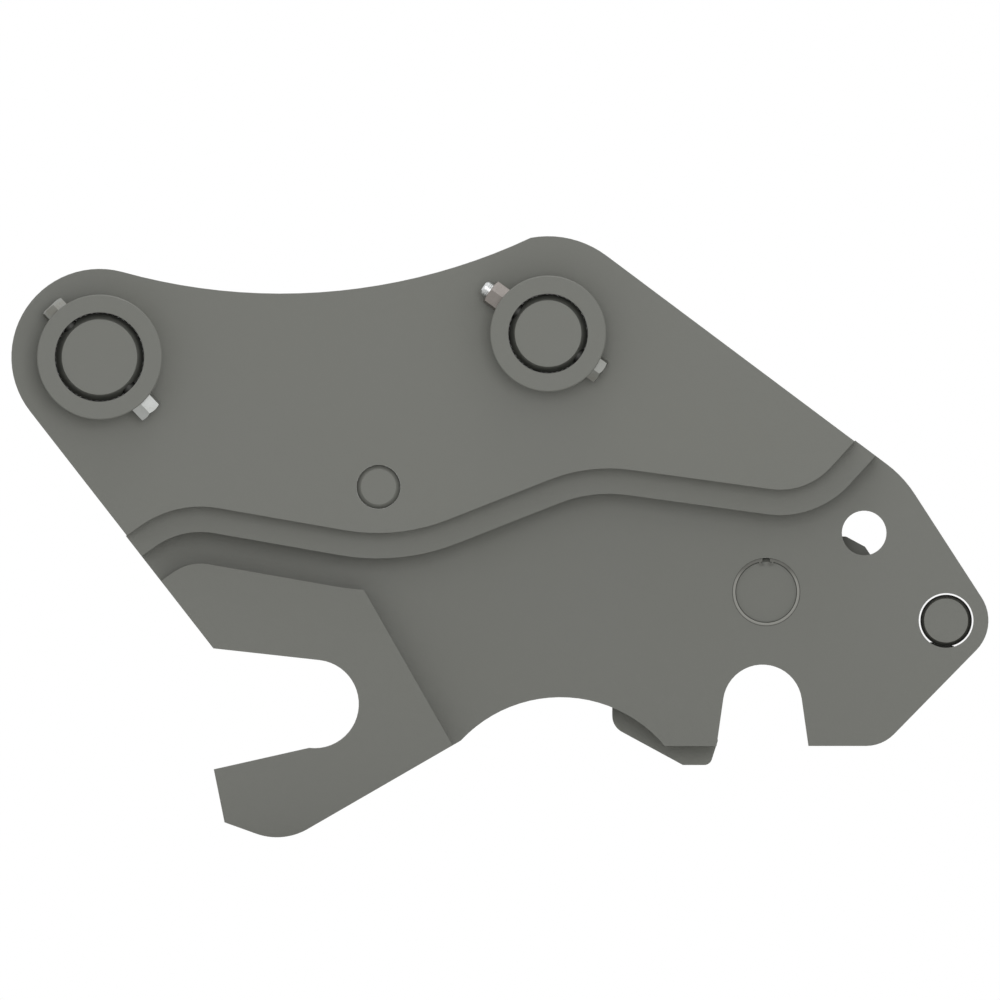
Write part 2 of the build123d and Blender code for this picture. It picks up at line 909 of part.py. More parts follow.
def across(x, radius, half_width):
    """Round bar across the cylinder's frame."""
    return Pos(x, 0, 0) * Rot(X=90) * Cylinder(radius, 2 * half_width)


def box_between(start, end, half_width, bottom, top):
    """Block from its limits in the cylinder's frame."""
    return Pos((start + end) / 2, 0, (bottom + top) / 2) * Box(
        end - start, 2 * half_width, top - bottom
    )


def block_bolt_places():
    for x in (block_start + block_bolt_inset, block_start + block_length - block_bolt_inset):
        for y in (-1, 1):
            yield Pos(x, y * (block_half_width - block_bolt_inset), 0)


def cylinder_barrel():
    """Tube with its closed end, base eye, valve pad and rod side port."""
    eye = across(0, base_eye_radius, eye_half_width)
    neck = box_between(0, bore_start, eye_half_width, -base_eye_radius * 0.8, base_eye_radius * 0.8)
    neck &= along_rod(barrel_radius, 0, bore_start)
    tube = along_rod(barrel_radius, barrel_start, barrel_end)
    pad_end = block_start + block_length - block_edge
    pad = box_between(block_start + block_edge, pad_end, pad_half_width, 0, pad_height)
    pad &= box_between(barrel_start, barrel_end, pad_half_width, 0, pad_height)
    boss = Pos(port_x, 0, port_boss_top / 2) * Cylinder(port_boss_radius, port_boss_top)
    barrel = eye + neck + tube + pad + boss
    barrel -= along_rod(bore_radius, bore_start, barrel_end)
    barrel -= across(0, base_pin_radius + base_bush_wall, eye_half_width)
    for place in block_bolt_places():
        depth = 2 * block_bolt_depth
        barrel -= place * Pos(0, 0, pad_height) * Cylinder(block_bolt_radius + pin_fit, depth)
    barrel -= Pos(bore_start + 8, 0, pad_height) * Cylinder(port_radius, 2 * (pad_height - pad_root) + 20)
    barrel -= Pos(port_x, 0, bore_radius) * Cylinder(port_radius, 2 * (tube_height + 10))
    tube_z = pad_height + tube_height
    barrel -= Pos(0, 0, tube_z) * along_rod(
        tube_radius + pin_fit, port_x - port_boss_radius - 1, port_x
    )
    barrel -= nipple_hole(base_nipple_place)
    return cylinder_frame * barrel


base_nipple_place = Plane(
    origin=(-base_eye_radius, 0, 0), x_dir=(0, 1, 0), z_dir=(-1, 0, 0)
)


def eye_bush(x, pin_radius, wall):
    bush = across(x, pin_radius + wall, eye_half_width) - across(
        x, pin_radius + pin_fit, eye_half_width
    )
    return cylinder_frame * bush


def cylinder_gland():
    """Screwed head of the cylinder with grooves for its seals."""
    gland = along_rod(bore_radius - seal_fit, gland_start, barrel_end)
    gland += along_rod(barrel_radius, barrel_end, barrel_end + gland_flange)
    gland -= along_rod(rod_radius + pin_fit, gland_start, barrel_end + gland_flange)
    seal_at = gland_start + gland_seal_offset
    gland -= along_rod(rod_radius + seal_depth, seal_at, seal_at + seal_width)
    ring_at = gland_start + gland_ring_offset
    gland -= ring_along_rod(
        bore_radius, bore_radius - gland_ring_depth, ring_at, ring_at + gland_ring_width
    )
    face = barrel_end + gland_flange
    gland -= along_rod(rod_radius + wiper_depth, face - wiper_width, face)
    for turn in range(4):
        hole = Pos(face, 0, (rod_radius + wiper_depth + barrel_radius) / 2) * Rot(Y=90)
        gland -= Rot(X=45 + 90 * turn) * hole * Cylinder(spanner_hole_radius, gland_flange)
    return cylinder_frame * gland


def rod_seal():
    start = gland_start + gland_seal_offset
    return cylinder_frame * ring_along_rod(
        rod_radius + seal_depth, rod_radius + seal_fit, start, start + seal_width
    )


def gland_ring():
    start = gland_start + gland_ring_offset
    return cylinder_frame * ring_along_rod(
        bore_radius, bore_radius - gland_ring_depth, start, start + gland_ring_width
    )


def rod_wiper():
    """Scraper ring whose lip stands out of the gland."""
    start = barrel_end + gland_flange - wiper_width
    ring = ring_along_rod(
        rod_radius + wiper_depth, rod_radius + seal_fit, start, start + wiper_width
    )
    lip_start = start + wiper_width
    lip = ring_along_rod(
        rod_radius + wiper_depth / 2, rod_radius + seal_fit, lip_start, lip_start + wiper_lip
    )
    return cylinder_frame * (ring + lip)


def valve_block():
    block = box_between(
        block_start, block_start + block_length, block_half_width, pad_height, block_top
    )
    block = chamfer(block.edges().filter_by(Axis.Z), block_edge)
    for place in block_bolt_places():
        block -= place * Pos(0, 0, pad_height) * Cylinder(
            block_bolt_radius + pin_fit, 3 * block_height
        )
    for y in (-fitting_spread, fitting_spread):
        port = Pos(0, y, pad_height + fitting_height)
        block -= port * along_rod(adapter_nose_radius * 0.8, block_start, block_start + socket_depth)
        end = block_start + block_length
        block -= port * along_rod(cartridge_cap_radius, end - socket_depth, end)
    end = block_start + block_length
    block -= Pos(0, 0, pad_height + tube_height) * along_rod(
        tube_radius + pin_fit, end - socket_depth, end
    )
    return cylinder_frame * block


def block_bolts():
    """Four socket head screws that hold the valve block down."""
    length = block_height + block_bolt_depth
    bolts = []
    for place in block_bolt_places():
        shank = Pos(0, 0, block_top - length / 2) * Cylinder(block_bolt_radius, length)
        head = Pos(0, 0, block_top + block_bolt_head_height / 2) * Cylinder(
            block_bolt_head, block_bolt_head_height
        )
        key = Pos(0, 0, block_top + block_bolt_head_height) * extrude(
            hexagon(block_bolt_head), block_bolt_head_height / 2, both=True
        )
        bolts.append(cylinder_frame * place * (shank + head - key))
    return bolts


def end_fitting(way, start, y, z, hex_width_, hex_length, nose_radius_, nose_length):
    """Hexagon and round nose that leave the block's end, sunk into a port."""
    turn = Rot(Y=90 * way)
    hexa = extrude(hexagon(hex_width_), hex_length)
    nose = Pos(0, 0, hex_length + nose_length / 2) * Cylinder(nose_radius_, nose_length)
    root = Pos(0, 0, -socket_depth / 2) * Cylinder(nose_radius_ * 0.8 - pin_fit, socket_depth)
    return Pos(start, y, z) * turn * (hexa + nose + root)


def hose_adapters():
    z = pad_height + fitting_height
    adapters = []
    for y in (-fitting_spread, fitting_spread):
        adapter = end_fitting(
            -1, block_start, y, z, adapter_hex, adapter_hex_length,
            adapter_nose_radius, adapter_nose_length,
        )
        bore = Pos(0, y, z) * along_rod(
            adapter_nose_radius * 0.55, block_start - adapter_hex_length - adapter_nose_length,
            block_start + socket_depth,
        )
        adapters.append(cylinder_frame * (adapter - bore))
    return adapters


def valve_cartridges():
    z = pad_height + fitting_height
    start = block_start + block_length
    return [
        cylinder_frame
        * end_fitting(
            1, start, y, z, cartridge_hex, cartridge_hex_length,
            cartridge_cap_radius, cartridge_cap_length,
        )
        for y in (-fitting_spread, fitting_spread)
    ]


def tube_ends():
    start = block_start + block_length
    return start, port_x - port_boss_radius


def transfer_tube():
    """Steel tube from the valve block to the rod side port."""
    start, end = tube_ends()
    bar = ring_along_rod(tube_radius, tube_radius * 0.6, start - socket_depth, end + 1)
    return cylinder_frame * (Pos(0, 0, pad_height + tube_height) * bar)


def tube_nuts():
    start, end = tube_ends()
    nuts = []
    for at, way in ((start, 1), (end, -1)):
        nut = extrude(hexagon(tube_nut_hex), tube_nut_length)
        nut -= Cylinder(tube_radius + pin_fit, 4 * tube_nut_length)
        nuts.append(cylinder_frame * (Pos(at, 0, pad_height + tube_height) * Rot(Y=90 * way) * nut))
    return nuts


def piston_rod():
    """Chromed rod with the eye at its end and the stub for the piston."""
    rod = along_rod(rod_radius, piston_end, eye_distance)
    rod += along_rod(stub_radius, bore_start + cushion, piston_end)
    rod += across(eye_distance, rod_eye_radius, eye_half_width)
    shoulder = eye_distance - rod_eye_radius - 8
    rod += along_rod(rod_radius * 1.25, shoulder, eye_distance)
    rod -= across(eye_distance, rod_pin_radius + rod_bush_wall, eye_half_width)
    return cylinder_frame * rod


def piston():
    body = ring_along_rod(
        bore_radius - 2 * seal_fit, stub_radius + pin_fit, piston_start, piston_end
    )
    for depth, start, width in piston_grooves():
        body -= ring_along_rod(bore_radius, bore_radius - depth, start, start + width)
    return cylinder_frame * body


def piston_grooves():
    """Depth, place and width of the seal groove and the wear ring groove."""
    seal_at = piston_start + piston_length / 4
    return (
        (seal_depth, seal_at, seal_width),
        (wear_ring_depth, seal_at + 1.5 * seal_width, wear_ring_width),
    )


def piston_ring(groove):
    depth, start, width = groove
    return cylinder_frame * ring_along_rod(
        bore_radius - seal_fit, bore_radius - depth, start, start + width
    )


def piston_nut():
    nut = extrude(hexagon(piston_nut_width), piston_nut_height)
    nut -= Cylinder(stub_radius + pin_fit, 4 * piston_nut_height)
    return cylinder_frame * (Pos(bore_start + cushion, 0, 0) * Rot(Y=90) * nut)


rod_nipple_place = Plane(
    origin=(rod_pin_centre[0], -hook_half_width - running_gap - rod_pin_head, rod_pin_centre[1]),
    x_dir=(1, 0, 0),
    z_dir=(0, -1, 0),
)
rod_pin_end = hook_half_width + running_gap + rod_washer_thickness + 4 * cotter_radius
cotter_y = hook_half_width + running_gap + rod_washer_thickness + cotter_radius + pin_fit


def rod_pin():
    """Headed pin that joins the rod eye to the hook lugs."""
    start = -hook_half_width - running_gap
    pin = shaft(rod_pin_centre, rod_pin_radius, start, rod_pin_end)
    pin = chamfer(pin.edges().filter_by(GeomType.CIRCLE).group_by(Axis.Y)[-1], 2.0)
    pin += shaft(rod_pin_centre, rod_pin_head_radius, start - rod_pin_head, start)
    pin -= nipple_hole(rod_nipple_place)
    return pin - cotter(cotter_radius + pin_fit, 3 * rod_pin_radius)


def cotter(radius, length):
    return Pos(rod_pin_centre[0], cotter_y, rod_pin_centre[1]) * Cylinder(radius, length)


def rod_pin_washer():
    start = hook_half_width + running_gap
    ring = disc(rod_pin_centre, rod_pin_head_radius) - disc(
        rod_pin_centre, rod_pin_radius + pin_fit
    )
    return slab(ring, start, start + rod_washer_thickness)


def pair(right):
    """One piece on each side, kept as separate solids of one node."""
    return [right, left_of(right)]


def machine_side():
    """Ears, deck, collars, pins and bolts that join the coupler to the arm."""
    ear = ear_plate()
    arm = (arm_pin_centre, arm_pin_radius, arm_collar_radius, arm_bolt_angle)
    link = (link_pin_centre, link_pin_radius, link_collar_radius, link_bolt_angle)
    arm_collar, link_collar = collar(*arm), collar(*link)
    arm_seat = (arm_pin_centre, arm_collar_radius, arm_bolt_angle)
    link_seat = (link_pin_centre, link_collar_radius, link_bolt_angle)
    return {
        "ear_plate_right": [ear],
        "ear_plate_left": [left_of(ear)],
        "deck_plate": [deck_plate()],
        "arm_collar_right": [arm_collar],
        "arm_collar_left": [left_of(arm_collar)],
        "link_collar_right": [link_collar],
        "link_collar_left": [left_of(link_collar)],
        "arm_pin": [coupler_pin(arm_pin_centre, arm_pin_radius, arm_pin_face_radius, arm_bolt_angle)],
        "link_pin": [
            coupler_pin(link_pin_centre, link_pin_radius, link_pin_face_radius, link_bolt_angle)
        ],
        "arm_collar_bolts": pair(collar_bolt(*arm_seat, arm_bolt_tail)),
        "link_collar_bolts": pair(collar_bolt(*link_seat, link_bolt_tail)),
        "collar_nuts": pair(collar_nut(*arm_seat)) + pair(collar_nut(*link_seat)),
    }


def bucket_side():
    """Side plates, jaw, cross plates and lifting bar that carry the bucket."""
    side, doubler = side_plate(), jaw_doubler()
    return {
        "side_plate_right": [side],
        "side_plate_left": [left_of(side)],
        "jaw_doubler_right": [doubler],
        "jaw_doubler_left": [left_of(doubler)],
        "jaw_saddle": [between_sides(saddle_face() - floor_face())],
        "jaw_floor_plate": [between_sides(floor_face())],
        "front_cross_plate": [between_sides(front_cross_face())],
        "mid_cross_plate": [between_sides(mid_cross_face())],
        "rear_cross_plate": [between_sides(rear_cross_face())],
        "rear_tie_plate": [between_sides(rear_tie_face())],
        "lifting_bar": [lifting_bar()],
        "lifting_bar_keepers": pair(lifting_bar_keeper()),
    }


def hook_group():
    """Hook with its bushes, and the pin, washers and circlips that it hangs on."""
    place = upward_plane(hook_nipple_point, neck_top_angle)
    return {
        "latch_hook": [latch_hook() - nipple_hole(place)],
        "hook_bushes": pair(hook_bush()),
        "hook_grease_nipple": [nipple(place)],
        "hook_pivot_pin": [pivot_pin()],
        "pivot_circlips": pair(pivot_circlip()),
        "hook_thrust_washers": pair(thrust_washer()),
    }


def cylinder_group():
    """Base mounting, barrel, gland, valve block and fittings of the lock cylinder."""
    lug = cylinder_lug()
    return {
        "cylinder_lug_right": [lug],
        "cylinder_lug_left": [left_of(lug)],
        "cylinder_base_pin": [base_pin()],
        "base_pin_spacers": pair(base_pin_spacer()),
        "base_pin_lock_screws": pair(lock_screw()),
        "cylinder_barrel": [cylinder_barrel()],
        "base_eye_bush": [eye_bush(0, base_pin_radius, base_bush_wall)],
        "base_grease_nipple": [cylinder_frame * nipple(base_nipple_place)],
        "cylinder_gland": [cylinder_gland()],
        "rod_seal": [rod_seal()],
        "gland_seal_ring": [gland_ring()],
        "rod_wiper": [rod_wiper()],
        "check_valve_block": [valve_block()],
        "valve_block_bolts": block_bolts(),
        "valve_cartridges": valve_cartridges(),
        "hose_adapters": hose_adapters(),
        "transfer_tube": [transfer_tube()],
        "tube_nuts": tube_nuts(),
    }


def rod_group():
    """Rod, piston and the pin that pushes the hook."""
    seal_groove, wear_groove = piston_grooves()
    return {
        "piston_rod": [piston_rod()],
        "piston": [piston()],
        "piston_seal": [piston_ring(seal_groove)],
        "piston_wear_ring": [piston_ring(wear_groove)],
        "piston_nut": [piston_nut()],
        "rod_eye_bush": [eye_bush(eye_distance, rod_pin_radius, rod_bush_wall)],
        "rod_pin_grease_nipple": [nipple(rod_nipple_place)],
        "rod_pin": [rod_pin()],
        "rod_pin_washer": [rod_pin_washer()],
        "rod_pin_cotter": [cotter(cotter_radius, 2.6 * rod_pin_radius)],
    }


def solids_of(pieces):
    """Plain solids of a list of shapes."""
    return [solid for piece in pieces for solid in piece.solids()]


os.makedirs("parts", exist_ok=True)
for group in (machine_side(), bucket_side(), hook_group(), cylinder_group(), rod_group()):
    for node, pieces in group.items():
        solids = solids_of(pieces)
        whole = solids[0] if len(solids) == 1 else Compound(solids)
        export_step(whole, f"parts/{node}.step")
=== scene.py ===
"""Finishes, weld beads, bolt threads, floor, light and camera for the hydraulic quick coupler."""

import json
import math

import bmesh
import bpy
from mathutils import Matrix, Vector, noise as field
from mathutils.bvhtree import BVHTree


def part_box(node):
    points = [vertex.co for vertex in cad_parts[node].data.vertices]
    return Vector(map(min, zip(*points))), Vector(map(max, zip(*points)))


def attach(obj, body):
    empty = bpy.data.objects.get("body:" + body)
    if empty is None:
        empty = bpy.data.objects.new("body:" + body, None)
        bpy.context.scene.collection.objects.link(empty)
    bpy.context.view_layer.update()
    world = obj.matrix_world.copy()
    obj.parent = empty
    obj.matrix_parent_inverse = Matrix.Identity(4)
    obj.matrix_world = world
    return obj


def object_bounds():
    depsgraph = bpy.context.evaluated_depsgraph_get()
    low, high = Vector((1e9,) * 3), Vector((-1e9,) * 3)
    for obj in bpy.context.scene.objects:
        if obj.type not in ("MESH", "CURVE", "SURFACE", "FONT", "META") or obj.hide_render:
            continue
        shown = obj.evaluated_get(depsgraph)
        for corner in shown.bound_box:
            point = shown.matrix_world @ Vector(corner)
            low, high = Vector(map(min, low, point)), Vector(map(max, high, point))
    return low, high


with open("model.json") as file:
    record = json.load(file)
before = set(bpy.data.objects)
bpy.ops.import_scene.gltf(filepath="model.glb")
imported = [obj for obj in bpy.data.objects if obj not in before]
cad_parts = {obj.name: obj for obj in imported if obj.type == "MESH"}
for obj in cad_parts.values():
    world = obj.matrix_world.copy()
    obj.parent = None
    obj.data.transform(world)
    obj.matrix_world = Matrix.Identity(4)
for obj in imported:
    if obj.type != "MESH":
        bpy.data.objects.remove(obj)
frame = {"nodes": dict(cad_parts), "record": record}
cad_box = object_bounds()


def axis_of(node):
    """Middle of a round piece whose axis runs along Y."""
    low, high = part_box(node)
    return Vector(((low.x + high.x) / 2, 0, (low.z + high.z) / 2))


# The photograph's view: straight along the pins, 1.024 mm to a pixel
VIEW_WIDTH = 1.024
VIEW_MIDDLE = (0.4101, -0.1464)
CAMERA_DISTANCE = 3.0

# Half widths of the coupler's layers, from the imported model
EAR_INNER, EAR_OUTER = (corner.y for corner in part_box("ear_plate_left"))
SIDE_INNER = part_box("side_plate_left")[0].y
LUG_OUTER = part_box("cylinder_lug_left")[1].y

# Axes of the pins
ARM_PIN = axis_of("arm_pin")
LINK_PIN = axis_of("link_pin")
HOOK_PIVOT = axis_of("hook_pivot_pin")
BASE_PIN = axis_of("cylinder_base_pin")
ROD_PIN = axis_of("rod_pin")


def srgb(red, green, blue):
    """Linear colour with alpha from 8 bit screen values."""
    channels = [channel / 255 for channel in (red, green, blue)]
    linear = [c / 12.92 if c <= 0.04045 else ((c + 0.055) / 1.055) ** 2.4 for c in channels]
    return (*linear, 1.0)


# Colours, as they show on a screen
PAINT = srgb(115, 116, 111)
PAINT_WORN = srgb(119, 120, 114)
# Latch paint: a lighter copy of the frame paint, painted light that offsets the shade deep between
# the side plates
HOOK_PAINT_LIT = srgb(128, 129, 123)
HOOK_PAINT_LIT_WORN = srgb(133, 134, 127)
# Circlip paint: a lighter copy of the frame paint, a painted highlight on the ring
CIRCLIP_PAINT_LIT = srgb(148, 148, 142)
CIRCLIP_PAINT_LIT_WORN = srgb(154, 154, 148)
CYLINDER_PAINT = srgb(72, 73, 71)
CYLINDER_PAINT_WORN = srgb(80, 81, 78)
EDGE_COLOUR = srgb(150, 149, 143)
DUST_COLOUR = srgb(84, 82, 74)
# Painted shade for the gap round the circlip and for its upper half
GAP_SHADE = srgb(88, 88, 83)
PLATING = srgb(146, 147, 143)
PLATING_STAIN = srgb(136, 134, 126)
# Nut colours: the arm pin's nut lighter as a painted highlight on its facets, the link pin's nut
# plainer
ARM_NUT_GLINT = srgb(186, 188, 186)
ARM_NUT_GLINT_STAIN = srgb(176, 178, 175)
LINK_NUT_TONE = srgb(152, 146, 142)
LINK_NUT_TONE_STAIN = srgb(140, 135, 131)
# Painted highlight: bright steel for the link bolt ends past their nuts and for their threads
GLINT_STEEL = srgb(208, 210, 210)
GLINT_STEEL_STAIN = srgb(200, 200, 198)
# Painted shade for the bolt shanks in the dark gap round the pins
SHANK_SHADE_STEEL = srgb(84, 84, 82)
BLACK_STEEL = srgb(78, 78, 77)
BLACK_STEEL_STAIN = srgb(60, 59, 57)
TURNED_DARK = srgb(140, 139, 135)
TURNED_LIGHT = srgb(170, 169, 165)
CHROME = srgb(225, 226, 228)
CHROME_STAIN = srgb(214, 214, 215)
BRONZE = srgb(190, 146, 86)
BRONZE_STAIN = srgb(150, 108, 62)
RUBBER = srgb(26, 26, 27)
RUBBER_LIGHT = srgb(38, 38, 38)
POLYMER = srgb(96, 62, 40)
POLYMER_LIGHT = srgb(112, 74, 48)
FLOOR = srgb(232, 232, 230)
FLOOR_LIGHT = srgb(238, 238, 236)


# Node helpers


def add(tree, kind, inputs=None, **settings):
    """New node with its settings and its inputs, each a value or a socket to join."""
    node = tree.nodes.new(kind)
    for name, value in settings.items():
        setattr(node, name, value)
    for name, value in (inputs or {}).items():
        if isinstance(value, bpy.types.NodeSocket):
            tree.links.new(value, node.inputs[name])
        else:
            node.inputs[name].default_value = value
    return node


def calc(tree, operation, *values, clamp=False):
    """Result of one Math node."""
    inputs = dict(enumerate(values))
    return add(tree, "ShaderNodeMath", inputs, operation=operation, use_clamp=clamp).outputs[0]


def ramp(tree, value, low, high):
    """0 below the low value, 1 above the high one and even between."""
    node = add(tree, "ShaderNodeMapRange", {"Value": value, "From Min": low, "From Max": high})
    return node.outputs["Result"]


def blend_colour(tree, factor, first, second):
    node = add(tree, "ShaderNodeMix", data_type="RGBA")
    for index, value in ((0, factor), (6, first), (7, second)):
        if isinstance(value, bpy.types.NodeSocket):
            tree.links.new(value, node.inputs[index])
        else:
            node.inputs[index].default_value = value
    return node.outputs[2]


def place(tree):
    """Position on the piece at rest."""
    return add(tree, "ShaderNodeTexCoord").outputs["Object"]


def split(tree, vector):
    """X, Y and Z of a vector."""
    return add(tree, "ShaderNodeSeparateXYZ", {0: vector}).outputs


def noise(tree, where, scale, detail=2.0, roughness=0.5):
    inputs = {"Vector": where, "Scale": scale, "Detail": detail, "Roughness": roughness}
    return add(tree, "ShaderNodeTexNoise", inputs).outputs["Fac"]


def stretch(tree, where, factors):
    """Position scaled by its own factor along each axis."""
    node = add(tree, "ShaderNodeVectorMath", {0: where, 1: factors}, operation="MULTIPLY")
    return node.outputs[0]


def off_axis(tree, centre):
    """Position from an axis along Y: its distance and its height over the axis."""
    shift = add(tree, "ShaderNodeVectorMath", {0: place(tree), 1: centre}, operation="SUBTRACT")
    flat = stretch(tree, shift.outputs[0], (1, 0, 1))
    reach = add(tree, "ShaderNodeVectorMath", {0: flat}, operation="LENGTH").outputs["Value"]
    return reach, split(tree, flat)["Z"]


def effect(name, inputs, outputs):
    """Empty node group with named inputs and outputs."""
    tree = bpy.data.node_groups.new(name, "ShaderNodeTree")
    for label, kind, value in inputs:
        socket = tree.interface.new_socket(label, in_out="INPUT", socket_type="NodeSocket" + kind)
        socket.default_value = value
    for label, kind in outputs:
        tree.interface.new_socket(label, in_out="OUTPUT", socket_type="NodeSocket" + kind)
    return tree, tree.nodes.new("NodeGroupInput").outputs, tree.nodes.new("NodeGroupOutput").inputs


def use(tree, group, **inputs):
    """Places a group in a material and returns its outputs."""
    node = tree.nodes.new("ShaderNodeGroup")
    node.node_tree = group
    for name, value in inputs.items():
        socket = node.inputs[name.replace("_", " ")]
        if isinstance(value, bpy.types.NodeSocket):
            tree.links.new(value, socket)
        else:
            socket.default_value = value
    return node.outputs


# Effects that several finishes share


def paint_film():
    """Sprayed paint: broad tone patches, fine specks and orange peel."""
    tree, given, made = effect(
        "paint_film",
        [
            ("Colour", "Color", PAINT),
            ("Worn Colour", "Color", PAINT_WORN),
            ("Patch Scale", "Float", 7.0),
            ("Peel Scale", "Float", 420.0),
        ],
        [("Colour", "Color"), ("Roughness", "Float"), ("Height", "Float")],
    )
    where = place(tree)
    patches = noise(tree, where, given["Patch Scale"], detail=4.0, roughness=0.55)
    specks = noise(tree, where, scale=900.0)
    tone = ramp(tree, patches, low=0.35, high=0.75)
    speck_tone = calc(tree, "MULTIPLY", ramp(tree, specks, low=0.3, high=0.8), 0.25)
    mixed = calc(tree, "MULTIPLY_ADD", tone, 0.6, speck_tone, clamp=True)
    colour = blend_colour(tree, mixed, given["Colour"], given["Worn Colour"])
    tree.links.new(colour, made["Colour"])
    tree.links.new(calc(tree, "MULTIPLY_ADD", patches, 0.18, 0.42), made["Roughness"])
    tree.links.new(noise(tree, where, given["Peel Scale"]), made["Height"])
    return tree


def edge_wear():
    """Thin broken line along the outer edges, as a mask."""
    tree, given, made = effect(
        "edge_wear",
        [("Width", "Float", 0.0012), ("Amount", "Float", 0.5)],
        [("Mask", "Float")],
    )
    rounded = add(tree, "ShaderNodeBevel", {"Radius": given["Width"]}, samples=6).outputs[0]
    true_normal = add(tree, "ShaderNodeNewGeometry").outputs["Normal"]
    turn = add(tree, "ShaderNodeVectorMath", {0: rounded, 1: true_normal}, operation="DOT_PRODUCT")
    bent = ramp(tree, turn.outputs["Value"], low=0.995, high=0.80)
    chips = noise(tree, place(tree), scale=95.0, detail=4.0, roughness=0.65)
    broken = ramp(tree, chips, low=0.36, high=0.62)
    strength = calc(tree, "MULTIPLY", calc(tree, "MULTIPLY", bent, broken), given["Amount"])
    tree.links.new(strength, made["Mask"])
    return tree


def corner_dust():
    """Dust that stays in inner corners, as a mask."""
    tree, given, made = effect(
        "corner_dust",
        [("Reach", "Float", 0.03), ("Amount", "Float", 0.5)],
        [("Mask", "Float")],
    )
    open_sky = add(tree, "ShaderNodeAmbientOcclusion", {"Distance": given["Reach"]}, samples=6)
    shut = calc(tree, "SUBTRACT", 1.0, open_sky.outputs["AO"])
    settled = noise(tree, place(tree), scale=30.0, detail=4.0, roughness=0.6)
    patchy = ramp(tree, settled, low=0.25, high=0.75)
    mask = calc(tree, "MULTIPLY", calc(tree, "MULTIPLY", shut, patchy), given["Amount"], clamp=True)
    tree.links.new(mask, made["Mask"])
    return tree


def flame_cut():
    """Fine lines across the cut edges of plates that stand along the pins."""
    tree, given, made = effect("flame_cut", [("Line Scale", "Float", 330.0)], [("Height", "Float")])
    normal = add(tree, "ShaderNodeNewGeometry").outputs["Normal"]
    facing = calc(tree, "ABSOLUTE", split(tree, normal)["Y"])
    on_edge = ramp(tree, facing, low=0.6, high=0.3)
    lines = noise(tree, stretch(tree, place(tree), (1.0, 0.06, 1.0)), given["Line Scale"])
    tree.links.new(calc(tree, "MULTIPLY", lines, on_edge), made["Height"])
    return tree


def turned_steel():
    """Ground steel with lathe rings round an axis along Y."""
    tree, given, made = effect(
        "turned_steel",
        [("Centre", "Vector", (0, 0, 0)), ("Ring Scale", "Float", 900.0)],
        [("Colour", "Color"), ("Roughness", "Float"), ("Height", "Float")],
    )
    reach, _ = off_axis(tree, given["Centre"])
    along = calc(tree, "ADD", reach, split(tree, place(tree))["Y"])
    line = add(tree, "ShaderNodeCombineXYZ", {"X": along}).outputs[0]
    rings = noise(tree, line, given["Ring Scale"], detail=3.0, roughness=0.6)
    tone = ramp(tree, rings, low=0.3, high=0.7)
    tree.links.new(blend_colour(tree, tone, TURNED_DARK, TURNED_LIGHT), made["Colour"])
    tree.links.new(calc(tree, "MULTIPLY_ADD", tone, 0.15, 0.22), made["Roughness"])
    tree.links.new(rings, made["Height"])
    return tree


def metal_grain():
    """Fine plated or rolled grain with faint stains."""
    tree, given, made = effect(
        "metal_grain",
        [
            ("Colour", "Color", PLATING),
            ("Stain", "Color", PLATING_STAIN),
            ("Grain Scale", "Float", 700.0),
            ("Stain Scale", "Float", 60.0),
        ],
        [("Colour", "Color"), ("Roughness", "Float"), ("Height", "Float")],
    )
    where = place(tree)
    grain = noise(tree, where, given["Grain Scale"], detail=3.0, roughness=0.6)
    spots = noise(tree, where, given["Stain Scale"], detail=4.0, roughness=0.6)
    stains = ramp(tree, spots, low=0.45, high=0.8)
    colour = blend_colour(tree, stains, given["Colour"], given["Stain"])
    tree.links.new(colour, made["Colour"])
    tree.links.new(calc(tree, "MULTIPLY_ADD", grain, 0.22, 0.20), made["Roughness"])
    tree.links.new(grain, made["Height"])
    return tree


def moulded_grain():
    """Fine grain and slow tone of moulded rubber or polymer."""
    tree, given, made = effect(
        "moulded_grain",
        [
            ("Colour", "Color", RUBBER),
            ("Light Colour", "Color", RUBBER_LIGHT),
            ("Roughness", "Float", 0.5),
        ],
        [("Colour", "Color"), ("Roughness", "Float"), ("Height", "Float")],
    )
    where = place(tree)
    grain = noise(tree, where, scale=1200.0, detail=3.0)
    tone = noise(tree, where, scale=80.0, detail=3.0)
    colour = blend_colour(tree, tone, given["Colour"], given["Light Colour"])
    tree.links.new(colour, made["Colour"])
    tree.links.new(calc(tree, "MULTIPLY_ADD", grain, 0.2, given["Roughness"]), made["Roughness"])
    tree.links.new(grain, made["Height"])
    return tree


ZONE_INPUTS = [("Edge", "Float", 0.05), ("Blur", "Float", 0.001)]
ZONE_OUTPUTS = [("Inside", "Float"), ("Outside", "Float")]


def part_at(tree, value, given, made):
    """Masks for the two sides of an edge that is crossed over a short blur."""
    far = calc(tree, "ADD", given["Edge"], given["Blur"])
    outside = ramp(tree, value, given["Edge"], far)
    tree.links.new(outside, made["Outside"])
    tree.links.new(calc(tree, "SUBTRACT", 1.0, outside), made["Inside"])
    return tree


def round_zone():
    """Masks inside and outside a distance from an axis along Y."""
    inputs = [("Centre", "Vector", (0, 0, 0)), *ZONE_INPUTS]
    tree, given, made = effect("round_zone", inputs, ZONE_OUTPUTS)
    reach, _ = off_axis(tree, given["Centre"])
    return part_at(tree, reach, given, made)


def width_zone():
    """Masks inside and outside a half width."""
    tree, given, made = effect("width_zone", ZONE_INPUTS, ZONE_OUTPUTS)
    return part_at(tree, calc(tree, "ABSOLUTE", split(tree, place(tree))["Y"]), given, made)


PAINT_FILM = paint_film()
EDGE_WEAR = edge_wear()
CORNER_DUST = corner_dust()
FLAME_CUT = flame_cut()
TURNED_STEEL = turned_steel()
METAL_GRAIN = metal_grain()
MOULDED_GRAIN = moulded_grain()
ROUND_ZONE = round_zone()
WIDTH_ZONE = width_zone()


# Finishes

